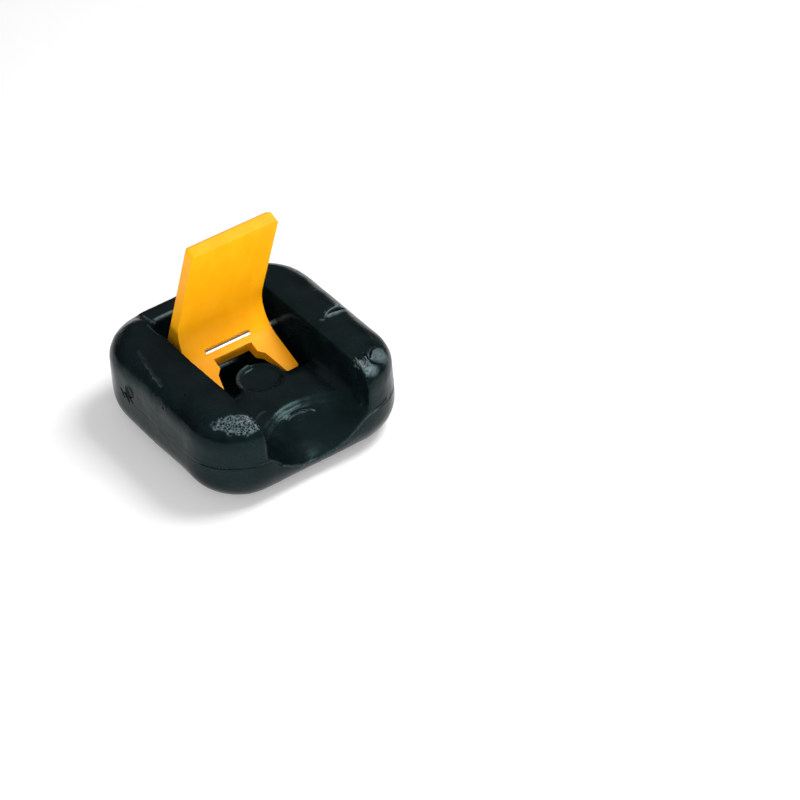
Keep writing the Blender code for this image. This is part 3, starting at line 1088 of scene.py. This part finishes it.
    def sculpt(self, bm: BMesh) -> None:
        """Move the skin to its final shape, and write as an attribute how pale it is painted, for highlights
        and scuffing.
        """
        chosen = np.flatnonzero(self.outer(bm))
        everything, normals = self.places(bm), self.normals(bm)[chosen]
        places = everything[chosen]
        lift = self.lumps(places) + self.crown(places) + self.seam(places)
        scuff_sheen_share = np.zeros(len(places))
        for mark in self.marks:
            found = np.flatnonzero(mark.spot(places))
            if len(found):
                lift[found] += mark.height(places[found])
                wear_and_sheen = mark.wear_and_sheen(places[found])
                scuff_sheen_share[found] = np.where(wear_and_sheen < 0, scuff_sheen_share[found] + wear_and_sheen, np.maximum(scuff_sheen_share[found], wear_and_sheen))
        everything[chosen] = places + normals * lift[:, None]
        self.put(bm, self.fitted(everything))
        # This attribute carries the painted highlights and the scuffing of the marks.
        layer = bm.verts.layers.float.new("wear_and_sheen")
        bm.verts.ensure_lookup_table()
        for index, share in zip(chosen, np.clip(scuff_sheen_share, 0, 1)):
            bm.verts[index][layer] = share

    def fitted(self, places: Array) -> Array:
        """Scale the skin by a hair, so that it fills the block's box exactly."""
        block = self.block
        low = np.array((-block.width / 2, -block.length / 2, 0.0)) / MM
        high = np.array((block.width / 2, block.length / 2, block.height)) / MM
        share = (places - places.min(axis=0)) / (places.max(axis=0) - places.min(axis=0))
        return low + share * (high - low)

    def hollow(self, outside: Object) -> Object:
        """Take the room for the lead, the pin and the plugs out of the skin."""
        block = self.block
        half = block.width / 2
        tools = [block.solid("room_for_lead", self.thickness, 1),
                 rod("room_for_pin", self.bore, -half - OVERRUN, half + OVERRUN, block.pivot)]
        for side in Side:
            inner, outer = half - self.thickness - self.plug_room, half + OVERRUN
            ends = sorted((side.value * inner, side.value * outer))
            tools.append(rod(f"room_for_plug_{side.name.lower()}", self.plug_hole, *ends, block.pivot))
        return carve(outside, tools, "MANIFOLD")

    def build(self, finish: DippedVinyl) -> Object:
        """Make the coating.

        Args:
            finish: the vinyl.

        Returns:
            The finished piece.
        """
        bm = self.skin()
        self.soften(bm)
        large = bm.copy()
        bmesh.ops.scale(large, vec=(1 / MM,) * 3, verts=large.verts)
        self.outside = BVHTree.FromBMesh(large)
        large.free()
        coat = self.hollow(new_object("dipped_coat", bm))
        bm = settled(coat)
        bmesh.ops.scale(bm, vec=(1 / MM,) * 3, verts=bm.verts)
        for mark in self.marks:
            mark.settle(self.outside)
        self.score(bm)
        self.refine(bm)
        self.sculpt(bm)
        bmesh.ops.scale(bm, vec=(MM,) * 3, verts=bm.verts)
        bm.to_mesh(coat.data)
        bm.free()
        dress(coat, finish.make(), self.sharp)
        return present(coat, "weight", "vinyl_coat", "vinyl_coat")


def at_height(z: float, *plan: tuple[float, float]) -> tuple[Point, ...]:
    """A path at one height, from its points in plan."""
    return tuple((x, y, z) for x, y in plan)


def patch_marks() -> list[Mark]:
    """The pitted patches on the front ends of the lobes, painted pale partly as scuffing and partly as a
    painted highlight, with the cracks of the right one.
    """
    return [
        Stipple((-34.2, -43.9, 42.4), (11.2, 4.8, 6.0), 1.25, 0.6, turn=-38.5),
        Stipple((28.6, -44.6, 43.2), (3.4, 5.0, 4.0), 1.15, 0.5, turn=8.0),
        Swell((36.5, -38.0, 44.0), (8.0, 5.0, 6.0), 0.35),
        Swell((36.5, -47.5, 41.0), (9.0, 6.5, 6.0), -0.4),
        # These two rises are painted pale as the highlight on the right lobe's facet.
        Swell((39.8, -42.3, 42.0), (6.6, 5.6, 5.6), 0.3, scuff_sheen_share=0.75),
        Swell((31.8, -48.0, 41.0), (5.6, 3.6, 3.8), 0.25, scuff_sheen_share=0.8),
        Stroke(((33.5, -38.6, 44.8), (33.2, -43.3, 43.8), (34.7, -45.6, 42.1), (37.6, -46.1, 40.3),
                (39.2, -46.9, 38.2)), 0.34, -0.75),
        Stroke(((34.2, -43.2, 43.7), (35.9, -41.3, 44.0), (37.8, -39.5, 44.0), (41.3, -38.3, 43.2),
                (43.9, -38.2, 41.5)), 0.3, -0.6),
        Stroke(((26.7, -39.9, 43.6), (26.5, -42.4, 42.6), (26.6, -45.4, 42.0), (27.2, -48.3, 41.2),
                (26.8, -49.6, 40.0)), 0.4, -0.5),
        Dimple((27.0, -50.3, 39.3), 0.8, -0.7),
    ]


def fold_marks() -> list[Mark]:
    """The folds across the right lobe, whose ridges are painted pale as highlights."""
    return [
        Stroke(((33.6, -10.0, 45), (35.1, -8.2, 45), (38.6, -7.0, 45), (43.2, -5.6, 44), (45.9, -4.2, 42.5)),
               0.62, 0.85, scuff_sheen_share=0.9),
        Stroke(((34.2, -10.4, 45), (35.5, -9.6, 45), (37.2, -9.7, 45), (39.8, -10.1, 45), (45.6, -9.3, 42.7)),
               0.66, 0.85, scuff_sheen_share=1.0),
        Stroke(((36.0, -8.6, 45), (38.2, -8.4, 45), (43.4, -7.5, 43.9), (46.4, -6.6, 42)), 0.5, -0.7),
        Stroke(((33.6, -8.4, 45), (35.4, -6.8, 45), (38.6, -5.5, 45), (42.0, -4.4, 44.4)), 0.42, -0.4),
        Stroke(at_height(45, (31.0, -8.4), (32.2, -9.9), (33.8, -10.4)), 0.5, 0.3, scuff_sheen_share=0.5),
    ]


def channel_marks() -> list[Mark]:
    """The marks at the channel's front, in the scoop, on the platform, round the boss and on the bar; the pale
    ones carry a painted highlight along them.
    """
    return [
        Stroke(((-26.7, -46.2, 43.2), (-26.6, -49.2, 40.8), (-26.5, -51.5, 36.8)), 0.55, -0.5),
        Stroke(((-26.4, -50.8, 40), (-26.2, -52.4, 33), (-26.2, -52.4, 23.4)), 0.45, -0.75),
        # Pale strokes here are painted highlights: the scoop's crescent, the platform's crease, the dish rim,
        # the lip's flash, the bar's edge and its step.
        Stroke(((-5.9, -36.1, 23.6), (-3.8, -35.3, 24.1), (-0.6, -34.9, 24.4), (1.8, -35.0, 24.3),
                (4.7, -36.0, 23.4)), 0.5, 0.5, scuff_sheen_share=0.3),
        Stroke(((-3.0, -34.6, 24.9), (2.1, -34.3, 24.9), (6.9, -35.8, 24.2), (9.0, -37.6, 23.0)), 0.5, -0.35),
        Stroke(at_height(27.5, (-18.5, -31.0), (-16.6, -29.3), (-13.7, -28.2), (-10.6, -28.0)),
               0.6, 0.25, scuff_sheen_share=0.12),
        Stroke(at_height(27.5, (-9.9, -8.5), (-9.6, -3.4), (-6.9, 0.7), (-2.6, 3.0), (1.8, 3.2)),
               1.4, 0.6, scuff_sheen_share=0.25),
        Stroke(at_height(27.5, (-7.4, -14.6), (-3.6, -16.9), (0.8, -17.4), (4.4, -16.6)), 0.6, 0.28),
        Stroke(((-20.0, -52.4, 17.3), (-14.8, -52.3, 13.9), (-8.9, -51.9, 10.9), (0.0, -51.6, 9.9),
                (8.0, -51.8, 10.9), (13.5, -52.2, 13.0), (18.7, -52.5, 16.6), (22.5, -52.5, 19.8),
                (26.5, -52.4, 21.8), (31.8, -51.8, 22.3), (38.2, -50.0, 23.2)), 0.5, 0.45, scuff_sheen_share=0.2),
        Stroke(at_height(42.3, (-24.2, 38.9), (-21.0, 39.2), (-18.6, 39.2), (-12.0, 39.1)),
               0.9, 0.55, scuff_sheen_share=0.9),
        Stroke(((-25.9, 45.0, 42.5), (-25.6, 41.0, 42.4), (-24.8, 38.6, 42.0), (-24.0, 37.9, 41.0),
                (-23.5, 37.9, 39.5)), 0.55, 0.55, scuff_sheen_share=0.35),
        Stroke(((26.0, -45.7, 29.3), (26.0, -46.9, 26.8), (25.8, -47.3, 23.1)), 0.9, 0.4),
    ]


def wrinkle_marks() -> list[Mark]:
    """The wrinkles on top of the left lobe, each a groove with a ridge beside it that is painted faintly pale
    as a highlight.
    """
    marks: list[Mark] = []
    for plan in (((-42.6, 24.0), (-43.8, 19.5), (-43.4, 15.0)), ((-45.0, 18.6), (-44.6, 14.4), (-46.2, 9.0)),
                 ((-44.9, 12.0), (-46.6, 6.0), (-46.4, 0.5)), ((-47.6, 7.4), (-47.2, 3.0), (-48.0, -2.4))):
        beside = [(x + 1.2, y - 0.2) for x, y in plan]
        marks.append(Stroke(at_height(42.8, *plan), 0.6, -0.3, 1.2))
        marks.append(Stroke(at_height(42.8, *beside), 0.8, 0.35, 1.2, scuff_sheen_share=0.1))
    return marks


def stray_marks() -> list[Mark]:
    """Stray pits and short scratches on the tops of both lobes."""
    chance = random.Random(11)
    marks: list[Mark] = []
    for _ in range(30):
        side = chance.choice((-1, 1))
        x, y = side * chance.uniform(28, 47), chance.uniform(-44, 44)
        marks.append(Dimple((x, y, 43.5), chance.uniform(0.45, 0.9), -chance.uniform(0.12, 0.3), fine=1))
    for _ in range(16):
        side = chance.choice((-1, 1))
        x, y, turn = side * chance.uniform(28, 46), chance.uniform(-42, 42), chance.uniform(0, math.pi)
        run = (chance.uniform(1.0, 2.4) * math.cos(turn), chance.uniform(1.0, 2.4) * math.sin(turn))
        middle = (x + chance.uniform(-0.6, 0.6), y)
        path = at_height(44, (x - run[0], y - run[1]), middle, (x + run[0], y + run[1]))
        marks.append(Stroke(path, 0.34, chance.choice((-0.22, 0.16)), 0.8, fine=1))
    return marks


def side_marks() -> list[Mark]:
    """The pits and the plain cracks on the left side."""
    pits = [Dimple((-42.8, -14.3, 44.1), 0.8, -0.4), Dimple((-50.2, -8.7, 36.7), 0.9, -0.35),
            Dimple((-45.7, -33.1, 41.9), 0.8, -0.45), Dimple((-44.2, -31.6, 42.9), 0.6, -0.3)]
    cracks = (((25.8, 26.6), (24.4, 23.6), (22.8, 21.6)), ((25.0, 24.2), (22.0, 24.6), (19.4, 23.2)),
              ((22.6, 26.2), (21.6, 23.8), (19.2, 21.4)), ((20.6, 24.6), (18.6, 24.4), (16.4, 22.6)))
    return pits + [Stroke(tuple((-51, y, z) for y, z in crack), 0.42, -0.6, 0.8) for crack in cracks]


def dip_marks() -> list[Mark]:
    """All the marks in the vinyl, in millimetres."""
    groups = (patch_marks, fold_marks, channel_marks, wrinkle_marks, stray_marks, side_marks)
    return [mark for group in groups for mark in group()]


# The latch and its pin

@dataclass
class Latch:
    """The orange latch: a plate for the finger, and two legs that press the belt into the pit."""

    pivot: Point = Block.pivot
    opening: float = 69.0
    width: float = 44 * MM
    reach: float = 68.5 * MM
    rise: float = 15.8 * MM
    plate: float = 6.8 * MM
    chamfer: float = 1.5 * MM
    corner: float = 2 * MM
    heel_reach: float = 7 * MM
    heel_radius: float = 6 * MM
    heel_rise: float = 2 * MM
    leg_face: float = 1 * MM
    leg_fillet: float = 16 * MM
    leg_drop: float = 24.7 * MM
    leg_tip: float = 2.2 * MM
    tip_corner: float = 1.5 * MM
    notch_width: float = 19.6 * MM
    notch_drop: float = 4.3 * MM
    notch_step_drop: float = 9.5 * MM
    notch_step: float = 2.6 * MM
    leg_taper: float = 3.2 * MM
    corner_segments: int = 8
    tip_segments: int = 6
    soft_segments: int = 3
    soft_angle: float = 24.0
    slot_width: float = 23.8 * MM
    slot_height: float = 2.2 * MM
    bore: float = 1.8 * MM
    softness: float = 0.35 * MM
    arc_step: float = 3.0

    def blank(self) -> Object:
        """The latch at full width, shut and level, with round corners and chamfered upper edges."""
        under = self.rise - self.plate
        pen = Outline(self.leg_face - self.leg_tip, -self.leg_drop, self.arc_step)
        pen.line(self.leg_face, -self.leg_drop).line(self.leg_face, under - self.leg_fillet)
        pen.arc((self.leg_face + self.leg_fillet, under - self.leg_fillet), -90)
        heel = self.heel_radius - self.heel_reach
        pen.line(self.reach, under).line(self.reach, self.rise).line(heel, self.rise)
        pen.arc((heel, self.rise - self.heel_radius), 90)
        pen.line(-self.heel_reach, self.heel_rise)
        bm = settled(pen.raised("latch_lever", self.width, Facing.LATCH_SIDE))
        drop(bpy.data.objects["latch_lever"])
        for side in Side:
            end = edges_where(bm, lambda co: co.x * side.value > 0 and co.y < HAIR - self.reach)
            bevel(bm, end, self.corner, self.corner_segments)
            tip = edges_where(bm, lambda co: co.x * side.value > 0 and co.z < HAIR - self.leg_drop)
            bevel(bm, tip, self.tip_corner, self.tip_segments)
        bm.normal_update()
        bevel(bm, [edge for edge in bm.edges if self.is_rim(edge)], self.chamfer, 1)
        return new_object("latch_lever", bm)

    @staticmethod
    def is_rim(edge: bmesh.types.BMEdge) -> bool:
        """Whether an edge lies between an upper face and one of the sides, the finger end or the corners."""
        ways = [face.normal for face in edge.link_faces]
        upright = any(abs(way.z) < TINY and (abs(way.x) > TINY or way.y < 0) for way in ways)
        return upright and any(way.z > TINY for way in ways)

    def notch(self) -> Object:
        """The gap between the legs, narrow at the pin and wider round the boss."""
        half = self.notch_width / 2
        wide = half + self.notch_step
        step_end = self.notch_step_drop + self.notch_step
        end = self.leg_drop + OVERRUN
        foot = wide + self.leg_taper / (self.leg_drop - step_end) * (end - step_end)
        pen = Outline(-half, -self.notch_drop, self.arc_step).line(half, -self.notch_drop)
        pen.line(half, -self.notch_step_drop).line(wide, -step_end).line(foot, -end)
        pen.line(-foot, -end).line(-wide, -step_end).line(-half, -self.notch_step_drop)
        return pen.raised("cut_notch", 2 * (self.reach + OVERRUN), Facing.FRONT)

    def slot(self) -> Object:
        """The slot in the plate through which the pin shows."""
        radius = self.slot_height / 2
        inner = self.slot_width / 2 - radius
        pen = Outline(inner, -radius, self.arc_step).arc((inner, 0), 180)
        pen.line(-inner, radius).arc((-inner, 0), 180)
        length = 2 * (self.reach + OVERRUN)
        return pen.raised("cut_slot", length, Facing.FRONT, (0, -length / 2, 0))

    def build(self, finish: MouldedPlastic) -> Object:
        """Make the latch, open at its angle of rest.

        Args:
            finish: the plastic.

        Returns:
            The finished piece.
        """
        half = self.width / 2 + OVERRUN
        bore = rod("cut_latch_bore", self.bore, -half, half, (0, 0, 0))
        latch = carve(self.blank(), [self.notch(), self.slot(), bore])
        turn = Matrix.Rotation(-math.radians(self.opening), 4, "X")
        latch.data.transform(Matrix.Translation(self.pivot) @ turn)
        soft = latch.modifiers.new("soft_edges", "BEVEL")
        soft.width = self.softness
        soft.segments = self.soft_segments
        soft.limit_method = "ANGLE"
        soft.angle_limit = math.radians(self.soft_angle)
        soft.harden_normals = True
        # The vinyl in the photo mirrors nothing orange
        latch.visible_glossy = False
        dress(latch, finish.make(), self.soft_angle)
        return present(latch, "latch", "latch", "latch")


@dataclass
class Hinge:
    """The steel pin across the channel, and the vinyl plugs that close its bore."""

    axis: Point = Block.pivot
    half_width: float = 51 * MM
    coat: float = 2.2 * MM
    gap: float = 0.3 * MM
    pin_radius: float = 1.5 * MM
    pin_end_gap: float = 0.5 * MM
    pin_chamfer: float = 0.3 * MM
    plug_radius: float = 2.7 * MM
    plug_sink: float = 0.3 * MM
    plug_edge: float = 0.4 * MM
    ring_start: float = 0.7 * MM
    ring_width: float = 0.8 * MM
    ring_depth: float = 0.25 * MM

    def pin(self, finish: GroundSteel) -> Object:
        """The pin, with a chamfer on both ends."""
        half = self.half_width - self.coat - self.gap - self.pin_end_gap
        pin = rod("steel_pin", self.pin_radius, -half, half, self.axis, 64, self.pin_chamfer)
        dress(pin, finish.make())
        return present(pin, "weight", "hinge_pin", "hinge_pin")

    def plug(self, side: Side, finish: DippedVinyl) -> Object:
        """One plug, soft-edged, whose outer face is sunk inside a narrow rim."""
        ends = sorted(side.value * (self.half_width - depth) for depth in (self.coat, self.plug_sink))
        name = f"bore_plug_{side.name.lower()}"
        bm = settled(rod(name, self.plug_radius, *ends, self.axis, 48, self.plug_edge))
        drop(bpy.data.objects[name])
        face = [face for face in bm.faces if face.normal.x * side.value > 0.9]
        bmesh.ops.inset_region(bm, faces=face, thickness=self.ring_start)
        bmesh.ops.inset_region(bm, faces=face, thickness=self.ring_width, depth=-self.ring_depth)
        plug = new_object(name, bm)
        dress(plug, finish.make())
        return present(plug, "weight", "pin_plug", f"pin_plug_{side.name.lower()}")


# The studio

@dataclass(frozen=True)
class Lamp:
    """One soft lamp, aimed at the weight."""

    name: str
    place: Point
    size: tuple[float, float]
    power: float
    aim: Point = (0.0, 0.0, 0.03)
    mirrored: bool = True

    def hang(self) -> None:
        """Put the lamp in the scene."""
        light = bpy.data.lights.new(self.name, "AREA")
        light.shape = "RECTANGLE"
        light.size, light.size_y = self.size
        light.energy = self.power
        lamp = bpy.data.objects.new(self.name, light)
        lamp.location = self.place
        lamp.visible_glossy = self.mirrored
        lamp.visible_camera = False
        lamp.rotation_euler = (Vector(self.aim) - Vector(self.place)).to_track_quat("-Z", "Y").to_euler()
        bpy.context.scene.collection.objects.link(lamp)


@dataclass
class Studio:
    """A white floor, soft lamps, and the camera at the photograph's angle."""

    azimuth: float = -33.729
    elevation: float = 39.436
    roll: float = -3.246
    focal_pixels: float = 3312.05
    origin_pixel: tuple[float, float] = (255.544, 415.605)
    distance: float = 1.45921
    frame_pixels: float = 800
    sensor: float = 36.0
    floor_half: float = 3.0
    dome: float = 0.39
    horizon: float = 0.06
    dome_band: tuple[float, float] = (0.25, 0.75)
    lamps: tuple[Lamp, ...] = (
        Lamp("overhead", (0.46, -0.14, 0.84), (0.33, 0.43), 7.3),
        Lamp("front_fill", (-0.52, -0.72, 0.62), (0.6, 0.6), 3.7, (0.0, 0.0, 0.04), False),
        Lamp("table_glow_front", (-0.12, -0.50, 0.012), (0.9, 0.4), 9.0, (-0.08, -0.30, 0.45), False),
        Lamp("table_glow_left", (-0.58, 0.02, 0.012), (0.4, 0.9), 6.0, (-0.38, 0.02, 0.45), False),
        Lamp("table_far", (-0.30, -0.92, 0.035), (1.2, 0.06), 2.2, (0.0, 0.0, 0.05), False),
    )

    def floor(self) -> Object:
        """The floor that the weight stands on."""
        bm = bmesh.new()
        bmesh.ops.create_grid(bm, x_segments=1, y_segments=1, size=self.floor_half)
        floor = new_object("floor", bm)
        dress(floor, PlainPaper().make())
        return floor

    def camera(self) -> Object:
        """The camera, placed so that the weight fills the same part of an 800 x 800 picture."""
        a, e, r = (math.radians(angle) for angle in (self.azimuth, self.elevation, self.roll))
        right = Vector((math.cos(a), math.sin(a), 0))
        ahead = Vector((-math.sin(a) * math.cos(e), math.cos(a) * math.cos(e), -math.sin(e)))
        down = ahead.cross(right)
        across = math.cos(r) * right - math.sin(r) * down
        below = math.sin(r) * right + math.cos(r) * down
        middle = self.frame_pixels / 2
        shift = [(pixel - middle) / self.focal_pixels * self.distance for pixel in self.origin_pixel]
        place = -(across * shift[0] + below * shift[1] + ahead * self.distance)
        data = bpy.data.cameras.new("camera")
        data.sensor_width = self.sensor
        data.lens = self.focal_pixels / self.frame_pixels * self.sensor
        data.clip_start, data.clip_end = 0.01, 20
        camera = bpy.data.objects.new("camera", data)
        turn = Matrix((across, -below, -ahead)).transposed().to_4x4()
        camera.matrix_world = Matrix.Translation(place) @ turn
        bpy.context.scene.collection.objects.link(camera)
        bpy.context.scene.camera = camera
        return camera

    def world(self) -> None:
        """A pale dome that is darker towards the horizon, as the walls of a studio are."""
        world = bpy.data.worlds.new("pale_dome")
        nodes = Nodes(world, "Background", "Generated")
        height = nodes.add("ShaderNodeSeparateXYZ", {0: nodes.place}).outputs["Z"]
        strength = nodes.spread(height, *self.dome_band, self.horizon, self.dome)
        nodes.fill(nodes.shader, {"Color": WHITE, "Strength": strength})
        bpy.context.scene.world = world

    def build(self) -> None:
        """Set the studio up."""
        self.floor()
        self.camera()
        self.world()
        for lamp in self.lamps:
            lamp.hang()
        bpy.context.scene.view_settings.view_transform = "Standard"


def main() -> None:
    """Build every piece and the studio."""
    logging.basicConfig(level=logging.INFO, format="%(name)s: %(message)s")
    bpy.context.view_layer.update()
    # The coat's vinyl paints its marks pale, as painted highlights and partly as scuffing.
    Coating(marks=dip_marks()).build(DippedVinyl(worn_and_sheened=True))
    Latch().build(MouldedPlastic())
    hinge = Hinge()
    hinge.pin(GroundSteel())
    for side in Side:
        hinge.plug(side, DippedVinyl(name=f"plug_vinyl_{side.name.lower()}", gloss=0.35, dull=0.55))
    paint(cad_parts["lead_core"], CastLead().make())
    log.info("lead_core: the solid itself, with its own finish")
    Studio().build()


if __name__ == "__main__":
    main()
